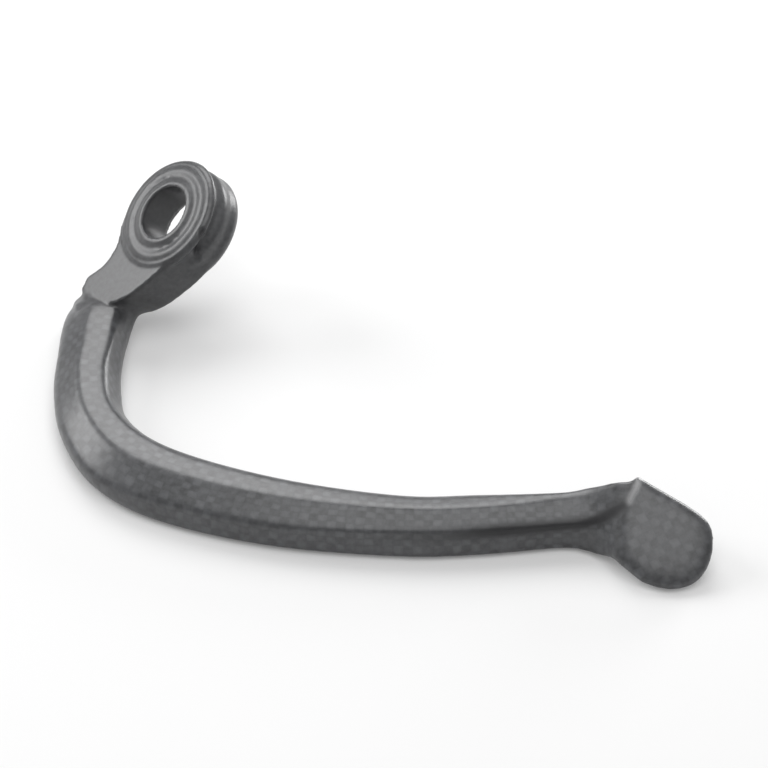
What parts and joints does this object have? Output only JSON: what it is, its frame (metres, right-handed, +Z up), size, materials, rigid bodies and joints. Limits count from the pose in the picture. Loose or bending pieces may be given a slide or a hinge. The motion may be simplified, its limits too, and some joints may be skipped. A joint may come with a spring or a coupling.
{
  "type": "brake lever guard",
  "caption": "Hooked guard arm of rounded, ridged section, with a thick drilled eye at one end and a leaf-shaped tip at the other, moulded in one piece.",
  "frame": {"origin": "middle of the eye's bore, 23 mm above the surface that the arm lies on", "axes": "+Z up from the surface, +X along the run of the arm from the bend to the tip, +Y from the run back towards the eye"},
  "size_m": [0.1457, 0.1119, 0.0355],
  "materials": {
    "woven_composite": "satin charcoal moulding with a plain weave under the surface"
  },
  "bodies": {
    "root": {"guard": "woven_composite"}
  },
  "joints": []
}
